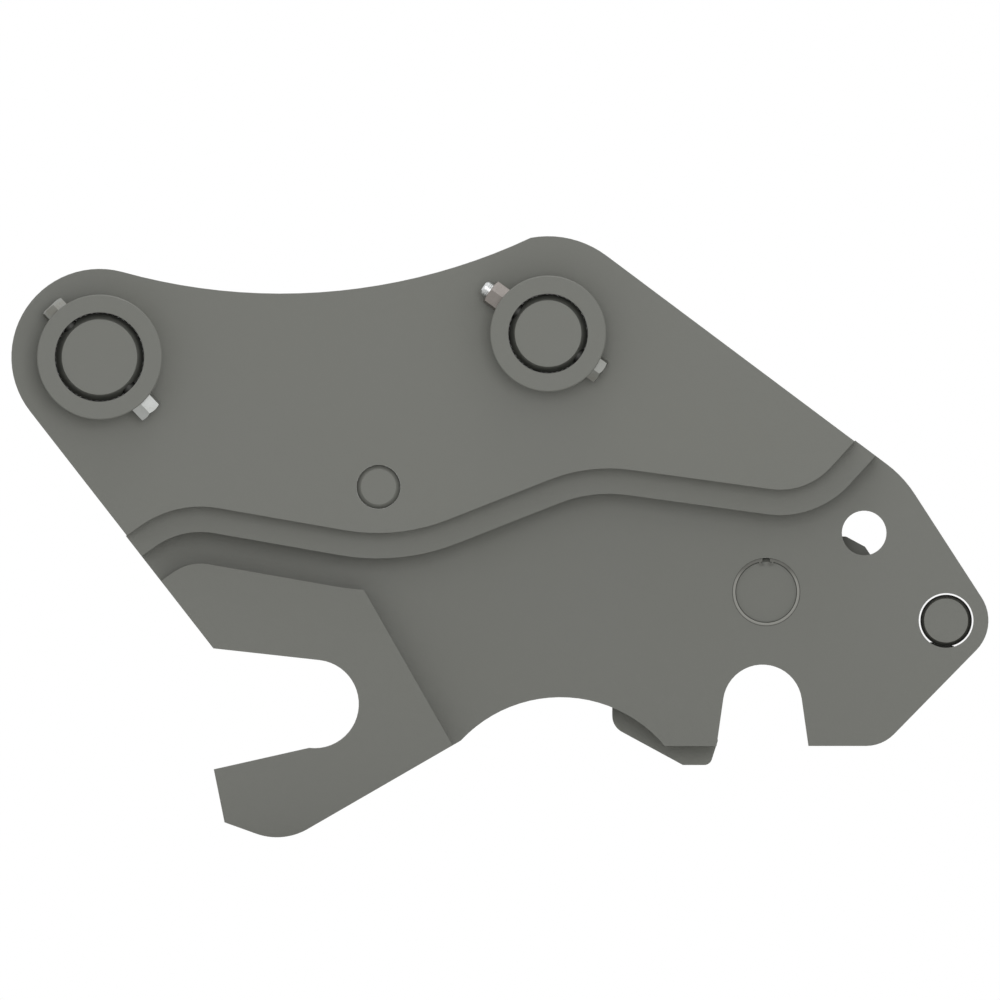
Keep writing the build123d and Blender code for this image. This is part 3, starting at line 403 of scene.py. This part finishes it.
PAINT_SHINE = 0.3
PEEL_DEPTH = 0.00006
CUT_DEPTH = 0.00025
CYLINDER_CUT_DEPTH = 0.0001
GRAIN_DEPTH = 0.00004
CHROME_GRAIN_DEPTH = 0.00001
CHROME_GRAIN_SCALE = 1400.0
TURNED_DEPTH = 0.00003
MOULDED_DEPTH = 0.00005
# Extra roughness on the bolt shank inside the pin
SHANK_ROUGHNESS = 0.3

# Where a finish changes on a piece
PAINT_LAP = 0.001
SHANK_REACH = 0.049
LINK_TAIL_REACH = 0.072
WHOLE_BOLT = 1.0
NUTS_APART = (0.20, 0.25)
# Circlip's painted shade: a dark line past the rim radius and a darker upper half
CIRCLIP_RIM = 0.0340
CIRCLIP_RIM_BLUR = 0.0003
CIRCLIP_SHADE = (0.012, 0.024)
CIRCLIP_SHADE_AMOUNT = 0.8


def finish_of(name):
    """New material with its tree and its own surface shader."""
    material = bpy.data.materials.new(name)
    material.use_nodes = True
    tree = material.node_tree
    return material, tree, tree.nodes["Principled BSDF"]


def join(tree, shader, **sockets):
    for name, socket in sockets.items():
        tree.links.new(socket, shader.inputs[name.replace("_", " ")])


def raise_surface(tree, shader, height, depth):
    bump = add(tree, "ShaderNodeBump", {"Height": height, "Strength": 1.0, "Distance": depth})
    tree.links.new(bump.outputs["Normal"], shader.inputs["Normal"])


def painted(name, colour, worn, wear=0.35, dust=0.5, cut_depth=CUT_DEPTH):
    """Paint over cut plate, a little lighter along the edges and dusty in the corners."""
    material, tree, shader = finish_of(name)
    film = use(tree, PAINT_FILM, Colour=colour, Worn_Colour=worn)
    edge = use(tree, EDGE_WEAR, Amount=wear)["Mask"]
    corner = use(tree, CORNER_DUST, Amount=dust)["Mask"]
    edged = blend_colour(tree, edge, film["Colour"], EDGE_COLOUR)
    dusty = blend_colour(tree, corner, edged, DUST_COLOUR)
    peel = calc(tree, "MULTIPLY", film["Height"], PEEL_DEPTH / cut_depth)
    height = calc(tree, "ADD", use(tree, FLAME_CUT)["Height"], peel)
    join(tree, shader, Base_Color=dusty, Roughness=film["Roughness"])
    shader.inputs["Specular IOR Level"].default_value = PAINT_SHINE
    raise_surface(tree, shader, height, cut_depth)
    return material


def plated(name, colour, stain, grain_scale=700.0, depth=GRAIN_DEPTH):
    """Plated, blackened or plain metal of small fittings."""
    material, tree, shader = finish_of(name)
    grain = use(tree, METAL_GRAIN, Colour=colour, Stain=stain, Grain_Scale=grain_scale)
    join(tree, shader, Base_Color=grain["Colour"], Roughness=grain["Roughness"])
    raise_surface(tree, shader, grain["Height"], depth)
    shader.inputs["Metallic"].default_value = 1.0
    return material


def pin_finish(name, centre):
    """Bare turned steel."""
    material, tree, shader = finish_of(name)
    steel = use(tree, TURNED_STEEL, Centre=centre)
    join(tree, shader, Base_Color=steel["Colour"], Roughness=steel["Roughness"])
    raise_surface(tree, shader, steel["Height"], TURNED_DEPTH)
    shader.inputs["Metallic"].default_value = 1.0
    return material


def part_painted_pin(name, centre, painted_from):
    """Turned steel pin, painted over beyond a half width where its ends show."""
    material, tree, shader = finish_of(name)
    steel = use(tree, TURNED_STEEL, Centre=centre)
    film = use(tree, PAINT_FILM)
    bare = use(tree, WIDTH_ZONE, Edge=painted_from - PAINT_LAP, Blur=PAINT_LAP)["Inside"]
    colour = blend_colour(tree, bare, film["Colour"], steel["Colour"])
    matte = add(tree, "ShaderNodeMix", {0: bare, 2: film["Roughness"], 3: steel["Roughness"]})
    join(tree, shader, Base_Color=colour, Roughness=matte.outputs[0], Metallic=bare)
    raise_surface(tree, shader, steel["Height"], TURNED_DEPTH)
    shader.inputs["Specular IOR Level"].default_value = PAINT_SHINE
    return material


def bolt_finish(name, centre, tail_reach=WHOLE_BOLT):
    """Plated bolt, with painted shade on the shank inside the pin and a painted highlight on the
    end past the nut.
    """
    material, tree, shader = finish_of(name)
    grain = use(tree, METAL_GRAIN)
    hidden = use(tree, ROUND_ZONE, Centre=centre, Edge=SHANK_REACH)["Inside"]
    glint_tail = use(tree, ROUND_ZONE, Centre=centre, Edge=tail_reach)["Outside"]
    # Painted shade on the shank inside the pin, painted highlight on the end past the nut
    colour = blend_colour(tree, hidden, grain["Colour"], SHANK_SHADE_STEEL)
    colour = blend_colour(tree, glint_tail, colour, GLINT_STEEL)
    rough = calc(tree, "MULTIPLY_ADD", hidden, SHANK_ROUGHNESS, grain["Roughness"], clamp=True)
    join(tree, shader, Base_Color=colour, Roughness=rough)
    raise_surface(tree, shader, grain["Height"], GRAIN_DEPTH)
    shader.inputs["Metallic"].default_value = 1.0
    return material


def nut_finish(name):
    """Plated nuts: the arm pin's nut in a lighter colour that is a painted highlight on its facets,
    the link pin's in a plainer tone.
    """
    material, tree, shader = finish_of(name)
    link_nut_share = ramp(tree, split(tree, place(tree))["X"], *NUTS_APART)
    colour = blend_colour(tree, link_nut_share, ARM_NUT_GLINT, LINK_NUT_TONE)
    stain = blend_colour(tree, link_nut_share, ARM_NUT_GLINT_STAIN, LINK_NUT_TONE_STAIN)
    grain = use(tree, METAL_GRAIN, Colour=colour, Stain=stain)
    join(tree, shader, Base_Color=grain["Colour"], Roughness=grain["Roughness"])
    raise_surface(tree, shader, grain["Height"], GRAIN_DEPTH)
    shader.inputs["Metallic"].default_value = 1.0
    return material


def circlip_finish(name):
    """Painted circlip in a lighter copy of the frame paint as a painted highlight, with painted
    shade in the gap round its outer edge and over its upper half.
    """
    material = painted(name, CIRCLIP_PAINT_LIT, CIRCLIP_PAINT_LIT_WORN, dust=0.2)
    tree = material.node_tree
    shader = tree.nodes["Principled BSDF"]
    unshaded_colour = shader.inputs["Base Color"].links[0].from_socket
    _, height = off_axis(tree, HOOK_PIVOT)
    upper = calc(tree, "MULTIPLY", ramp(tree, height, *CIRCLIP_SHADE), CIRCLIP_SHADE_AMOUNT)
    edge = use(tree, ROUND_ZONE, Centre=HOOK_PIVOT, Edge=CIRCLIP_RIM, Blur=CIRCLIP_RIM_BLUR)
    # Painted shade: darker over the upper half and in the gap past the rim
    painted_shade = calc(tree, "MAXIMUM", upper, edge["Outside"])
    join(tree, shader, Base_Color=blend_colour(tree, painted_shade, unshaded_colour, GAP_SHADE))
    return material


def soft_finish(name, colour, light, rough):
    """Moulded rubber or polymer."""
    material, tree, shader = finish_of(name)
    grain = use(tree, MOULDED_GRAIN, Colour=colour, Light_Colour=light, Roughness=rough)
    join(tree, shader, Base_Color=grain["Colour"], Roughness=grain["Roughness"])
    raise_surface(tree, shader, grain["Height"], MOULDED_DEPTH)
    return material


FINISHES = {
    "coupler_paint": painted("coupler_paint", PAINT, PAINT_WORN, dust=0.3),
    "cylinder_paint": painted(
        "cylinder_paint",
        CYLINDER_PAINT,
        CYLINDER_PAINT_WORN,
        wear=0.25,
        cut_depth=CYLINDER_CUT_DEPTH,
    ),
    "zinc_steel": plated("zinc_steel", PLATING, PLATING_STAIN),
    "dark_steel": plated("dark_steel", BLACK_STEEL, BLACK_STEEL_STAIN),
    "rod_chrome": plated(
        "rod_chrome", CHROME, CHROME_STAIN, CHROME_GRAIN_SCALE, CHROME_GRAIN_DEPTH
    ),
    "bush_bronze": plated("bush_bronze", BRONZE, BRONZE_STAIN),
    "seal_rubber": soft_finish("seal_rubber", RUBBER, RUBBER_LIGHT, rough=0.55),
    "wear_polymer": soft_finish("wear_polymer", POLYMER, POLYMER_LIGHT, rough=0.45),
}

# Pieces with a finish of their own in place of their slot's
OWN_FINISHES = {
    "arm_pin": part_painted_pin("arm_pin_steel", ARM_PIN, EAR_OUTER),
    "link_pin": part_painted_pin("link_pin_steel", LINK_PIN, EAR_OUTER),
    "hook_pivot_pin": part_painted_pin("pivot_pin_steel", HOOK_PIVOT, SIDE_INNER),
    "cylinder_base_pin": part_painted_pin("base_pin_steel", BASE_PIN, EAR_INNER),
    "base_pin_spacers": pin_finish("spacer_steel", BASE_PIN),
    "rod_pin": pin_finish("rod_pin_steel", ROD_PIN),
    "hook_thrust_washers": pin_finish("washer_steel", HOOK_PIVOT),
    "arm_collar_bolts": bolt_finish("arm_bolt_steel", ARM_PIN),
    "link_collar_bolts": bolt_finish("link_bolt_steel", LINK_PIN, LINK_TAIL_REACH),
    "collar_nuts": nut_finish("nut_steel"),
    # The latch gets a lighter copy of the frame paint, as painted light against its shade between
    # the plates
    "latch_hook": painted("hook_paint_lit", HOOK_PAINT_LIT, HOOK_PAINT_LIT_WORN),
    "pivot_circlips": circlip_finish("circlip_paint"),
}
# Threads in the bright steel of the bolt ends' painted highlight
THREAD_FINISH = plated("thread_steel", GLINT_STEEL, GLINT_STEEL_STAIN)


def dress_frame():
    """Gives each CAD node the finish of its slot, or its own."""
    for entry in frame["record"]["subparts"]:
        node = frame["nodes"][entry["node"]]
        finish = OWN_FINISHES.get(entry["node"]) or FINISHES[entry["material_slot"]]
        node.data.materials.clear()
        node.data.materials.append(finish)


dress_frame()


# Weld beads in the inner corners, where they stay out of sight from the side

EAR_BEAD_LEG = 0.009
BOX_BEAD_LEG = 0.006
LEG_WOBBLE = 0.08
WOBBLE_SCALE = 60.0
BEAD_STEP = 0.0017
BEAD_SINK = 0.0004
BEAD_CROWN = 0.0014
BEAD_POINTS = 6
BEAD_END_SIZE = 0.35
BEAD_END_GROWTH = 0.16
RIPPLE_LENGTH = 0.0062
RIPPLE_HEIGHT = 0.0008
RIPPLE_BOW = 0.0045
SHORTEST_BEAD = 0.018

# How a seam is followed and felt out
SHARP_CORNER = math.cos(math.radians(25))
SHORT_EDGE = 0.02
SAME_POINT = 0.00001
SECTION_INSET = 0.0003
PROBE = 0.003
PROBE_REACH = 0.0036
LEG_ROOM = 1.2
CREST_SHARE = 0.7
FREE_ROOM = 0.012

BOX_PIECES = (
    "front_cross_plate",
    "mid_cross_plate",
    "rear_cross_plate",
    "rear_tie_plate",
    "jaw_saddle",
    "jaw_floor_plate",
    "lifting_bar_keepers",
)


def solid_of(node):
    """Piece of the frame as a closed mesh."""
    body = bmesh.new()
    body.from_mesh(frame["nodes"][node].data)
    body.transform(frame["nodes"][node].matrix_world)
    bmesh.ops.remove_doubles(body, verts=body.verts, dist=SAME_POINT)
    return body


def surface_of(*nodes):
    """Search tree of the surfaces of some pieces."""
    joined = bmesh.new()
    for node in nodes:
        body = solid_of(node)
        corners = {vert: joined.verts.new(vert.co) for vert in body.verts}
        for face in body.faces:
            joined.faces.new([corners[vert] for vert in face.verts])
        body.free()
    tree = BVHTree.FromBMesh(joined)
    joined.free()
    return tree


FIXED_SURFACE = surface_of(*frame["record"]["behaviour"]["bodies"]["frame"])


def section_runs(node, width):
    """Smooth lines round a piece's section, as edges with their outward directions."""
    body = solid_of(node)
    parts = body.verts[:] + body.edges[:] + body.faces[:]
    cut = bmesh.ops.bisect_plane(body, geom=parts, plane_co=(0, width, 0), plane_no=(0, 1, 0))
    edges = [item for item in cut["geom_cut"] if isinstance(item, bmesh.types.BMEdge)]
    ways = {}
    for edge in edges:
        for vert in edge.verts:
            ways.setdefault(vert, []).append(edge)
    left = dict.fromkeys(edges)
    runs = []
    while left:
        edge = next(iter(left))
        vert, chain = edge.verts[0], []
        while edge in left:
            del left[edge]
            far = edge.other_vert(vert)
            chain.append((vert.co.copy(), far.co.copy(), edge.link_faces[0].normal.copy()))
            vert = far
            edge = next((other for other in ways[vert] if other in left), edge)
        runs += split_at_corners(chain)
    body.free()
    return runs


def split_at_corners(chain):
    """Smooth stretches of a closed line of edges."""
    starts = [i for i in range(len(chain)) if chain[i][2].dot(chain[i - 1][2]) < SHARP_CORNER]
    if not starts:
        return [chain + chain[:1]]
    turned = chain[starts[0] :] + chain[: starts[0]]
    breaks = [start - starts[0] for start in starts] + [len(chain)]
    return [turned[low:high] for low, high in zip(breaks, breaks[1:])]


def even_points(run):
    """Points at even steps along a smooth stretch, with turning outward directions."""
    samples = []
    travelled = 0.0
    for index, (start, end, outward) in enumerate(run):
        length = (end - start).length
        before = run[index - 1][2] + outward if index else outward
        after = run[index + 1][2] + outward if index + 1 < len(run) else outward
        along = -travelled % BEAD_STEP
        while along < length:
            share = along / length
            facing = outward
            if length < SHORT_EDGE:
                facing = before.normalized().lerp(after.normalized(), share)
            samples.append((start.lerp(end, share), Vector((facing.x, 0, facing.z)).normalized()))
            along += BEAD_STEP
        travelled += length
    return samples


def meets(surface, start, heading, reach):
    return surface.ray_cast(start, heading, reach)[0] is not None


def free_corner(point, outward, away, leg, plate, piece):
    """Whether both faces of a corner are there and nothing stands in it."""
    over_plate = point + outward * LEG_ROOM * leg + away * PROBE
    over_piece = point + away * LEG_ROOM * leg + outward * PROBE
    crest = point + (outward + away) * CREST_SHARE * leg
    return (
        meets(plate, over_plate, -away, PROBE_REACH)
        and meets(piece, over_piece, -outward, PROBE_REACH)
        and not meets(FIXED_SURFACE, crest, (outward + away).normalized(), FREE_ROOM)
    )


def seam_rows(piece, plate, width, away, leg):
    """Rows of points along the stretches of a seam that a bead can fill."""
    surfaces = surface_of(plate), surface_of(piece)
    rows = [[]]
    for run in section_runs(piece, width + away.y * SECTION_INSET):
        for point, outward in even_points(run):
            point.y = width
            if free_corner(point, outward, away, leg, *surfaces):
                rows[-1].append((point, outward))
            elif rows[-1]:
                rows.append([])
        rows.append([])
    return [row for row in rows if len(row) * BEAD_STEP > SHORTEST_BEAD]


def bead_ring(point, outward, away, leg, travelled, size):
    """Points across a bead, crowned and rippled, with its root sunk in the corner."""
    leg *= size * (1 + LEG_WOBBLE * field.noise(point * WOBBLE_SCALE))
    ring = [point - (outward + away) * BEAD_SINK]
    for index in range(BEAD_POINTS + 1):
        share = index / BEAD_POINTS
        bow = 1 - (2 * share - 1) ** 2
        phase = (travelled + RIPPLE_BOW * bow) / RIPPLE_LENGTH % 1
        crown = (BEAD_CROWN + RIPPLE_HEIGHT * (1 - phase)) * math.sin(math.pi * share) * size
        up = -BEAD_SINK if index == BEAD_POINTS else leg * (1 - share) + crown
        out = -BEAD_SINK if index == 0 else leg * share + crown
        ring.append(point + outward * up + away * out)
    return ring


def loft(body, rows, smooth):
    """Closed bar through rows of points."""
    rings = [[body.verts.new(point) for point in row] for row in rows]
    for low, high in zip(rings, rings[1:]):
        for k in range(len(low)):
            body.faces.new((low[k - 1], low[k], high[k], high[k - 1])).smooth = smooth
    body.faces.new(rings[0])
    body.faces.new(rings[-1])


def add_piece(name, body, finish):
    """Puts a finished mesh on the frame."""
    bmesh.ops.recalc_face_normals(body, faces=body.faces)
    mesh = bpy.data.meshes.new(name)
    body.to_mesh(mesh)
    body.free()
    mesh.materials.append(finish)
    piece = bpy.data.objects.new(name, mesh)
    bpy.context.scene.collection.objects.link(piece)
    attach(piece, "frame")


def weld(name, piece, plate, half_width, side, leg=BOX_BEAD_LEG, inward=True):
    """Beads along a piece's edges where they meet the face of a plate."""
    away = Vector((0, -side if inward else side, 0))
    body = bmesh.new()
    for row in seam_rows(piece, plate, side * half_width, away, leg):
        last = len(row) - 1
        rings = []
        for index, (point, outward) in enumerate(row):
            size = min(1.0, BEAD_END_SIZE + BEAD_END_GROWTH * min(index, last - index))
            rings.append(bead_ring(point, outward, away, leg, index * BEAD_STEP, size))
        loft(body, rings, smooth=True)
    add_piece(name, body, FINISHES["coupler_paint"])


for hand, side in (("right", -1), ("left", 1)):
    weld("ear_weld_" + hand, "deck_plate", "ear_plate_" + hand, EAR_INNER, side, EAR_BEAD_LEG)
    weld("deck_weld_" + hand, "deck_plate", "side_plate_" + hand, SIDE_INNER, side)
    weld("lug_weld_" + hand, "deck_plate", "cylinder_lug_" + hand, LUG_OUTER, side, inward=False)
    for piece in BOX_PIECES:
        weld(piece + "_weld_" + hand, piece, "side_plate_" + hand, SIDE_INNER, side)


# Threads on the link bolts' ends, which stand out of their nuts

THREAD_PITCH = 0.002
THREAD_TURNS = 2.6
THREAD_STEPS = 40
THREAD_DEPTH = 0.0004
THREAD_ROOT = 0.0009
THREAD_CREST = 0.00012
THREAD_START = 0.0009
THREAD_FADE_STEPS = 8
BOLT_RADIUS = 0.008
BOLT_END_CHAMFER = 0.002
LINK_TAIL_ANGLE = math.radians(144)


def tail_end(side, along):
    """Centre of the round end of a link bolt, where its chamfer starts."""
    node = frame["nodes"]["link_collar_bolts"]
    tips = [node.matrix_world @ vert.co for vert in node.data.vertices]
    tips = [tip for tip in tips if tip.y * side > 0]
    end = max((tip - LINK_PIN).dot(along) for tip in tips) - BOLT_END_CHAMFER
    widths = [tip.y for tip in tips if (tip - LINK_PIN).dot(along) > end]
    return LINK_PIN + along * end + Vector((0, (min(widths) + max(widths)) / 2, 0))


def thread_ridge(name, side):
    """Helical ridge round the end of one link bolt."""
    along = Vector((math.cos(LINK_TAIL_ANGLE), 0, math.sin(LINK_TAIL_ANGLE)))
    across = Vector((-along.z, 0, along.x))
    level = Vector((0, 1, 0))
    end = tail_end(side, along)
    count = round(THREAD_TURNS * THREAD_STEPS)
    rows = []
    for step in range(count + 1):
        turn = math.tau * step / THREAD_STEPS
        out = across * math.cos(turn) + level * math.sin(turn)
        back = THREAD_START + THREAD_PITCH * step / THREAD_STEPS
        rise = min(1.0, step / THREAD_FADE_STEPS, (count - step) / THREAD_FADE_STEPS)
        profile = (
            (-1, THREAD_ROOT),
            (rise, THREAD_CREST),
            (rise, -THREAD_CREST),
            (-1, -THREAD_ROOT),
        )
        rows.append(
            [
                end + along * (shift - back) + out * (BOLT_RADIUS + lift * THREAD_DEPTH)
                for lift, shift in profile
            ]
        )
    body = bmesh.new()
    loft(body, rows, smooth=False)
    add_piece(name, body, THREAD_FINISH)


thread_ridge("link_bolt_thread_right", -1)
thread_ridge("link_bolt_thread_left", 1)


# Floor, light and camera

FLOOR_RADIUS = 14.0
FLOOR_EDGES = 96
FLOOR_DROP = 0.0005
FLOOR_ROUGHNESS = 0.8
FLOOR_SHINE = 0.1
ROOM_LIGHT = 0.55
LIGHT_AIM = (0.4, 0, -0.15)


def pale_floor():
    """Round floor just under the coupler, clear when seen from below."""
    mesh = bpy.data.meshes.new("floor")
    body = bmesh.new()
    bmesh.ops.create_circle(body, cap_ends=True, segments=FLOOR_EDGES, radius=FLOOR_RADIUS)
    body.to_mesh(mesh)
    body.free()
    floor = bpy.data.objects.new("floor", mesh)
    floor.location = (VIEW_MIDDLE[0], 0, cad_box[0].z - FLOOR_DROP)
    bpy.context.scene.collection.objects.link(floor)
    material, tree, shader = finish_of("floor_pale")
    tone = noise(tree, place(tree), scale=3.0, detail=3.0)
    join(tree, shader, Base_Color=blend_colour(tree, tone, FLOOR, FLOOR_LIGHT))
    shader.inputs["Roughness"].default_value = FLOOR_ROUGHNESS
    shader.inputs["Specular IOR Level"].default_value = FLOOR_SHINE
    clear = add(tree, "ShaderNodeBsdfTransparent").outputs[0]
    under = add(tree, "ShaderNodeNewGeometry").outputs["Backfacing"]
    sides = add(tree, "ShaderNodeMixShader", {0: under, 1: shader.outputs[0], 2: clear})
    tree.links.new(sides.outputs[0], tree.nodes["Material Output"].inputs["Surface"])
    mesh.materials.append(material)


def studio_world():
    """Even light all round, white to the camera and in reflections."""
    world = bpy.data.worlds.new("studio")
    world.use_nodes = True
    tree = world.node_tree
    rays = add(tree, "ShaderNodeLightPath").outputs
    seen = calc(tree, "ADD", rays["Is Camera Ray"], rays["Is Glossy Ray"], clamp=True)
    seen = calc(tree, "ADD", seen, rays["Is Transmission Ray"], clamp=True)
    strength = calc(tree, "MULTIPLY_ADD", seen, 1.0 - ROOM_LIGHT, ROOM_LIGHT)
    background = tree.nodes["Background"]
    background.inputs["Color"].default_value = (1, 1, 1, 1)
    tree.links.new(strength, background.inputs["Strength"])
    bpy.context.scene.world = world


def softbox(name, spot, size, power):
    """Round lamp that faces the middle of the coupler."""
    lamp = bpy.data.lights.new(name, "AREA")
    lamp.shape = "DISK"
    lamp.size = size
    lamp.energy = power
    holder = bpy.data.objects.new(name, lamp)
    holder.location = spot
    holder.rotation_euler = (Vector(LIGHT_AIM) - Vector(spot)).to_track_quat("-Z", "Y").to_euler()
    bpy.context.scene.collection.objects.link(holder)


def side_camera():
    """Straight on to the coupler's right side, with no perspective."""
    lens = bpy.data.cameras.new("side_view")
    lens.type = "ORTHO"
    lens.ortho_scale = VIEW_WIDTH
    camera = bpy.data.objects.new("side_view", lens)
    camera.location = (VIEW_MIDDLE[0], -CAMERA_DISTANCE, VIEW_MIDDLE[1])
    camera.rotation_euler = (math.radians(90), 0, 0)
    bpy.context.scene.collection.objects.link(camera)
    bpy.context.scene.camera = camera


pale_floor()
studio_world()
softbox("front_light", spot=(0.7, -4.4, 0.5), size=2.6, power=48.0)
softbox("top_light", spot=(0.7, -0.3, 3.0), size=2.4, power=30.0)
softbox("back_light", spot=(-0.1, 4.4, 0.8), size=2.6, power=44.0)
side_camera()
bpy.context.scene.view_settings.view_transform = "Standard"
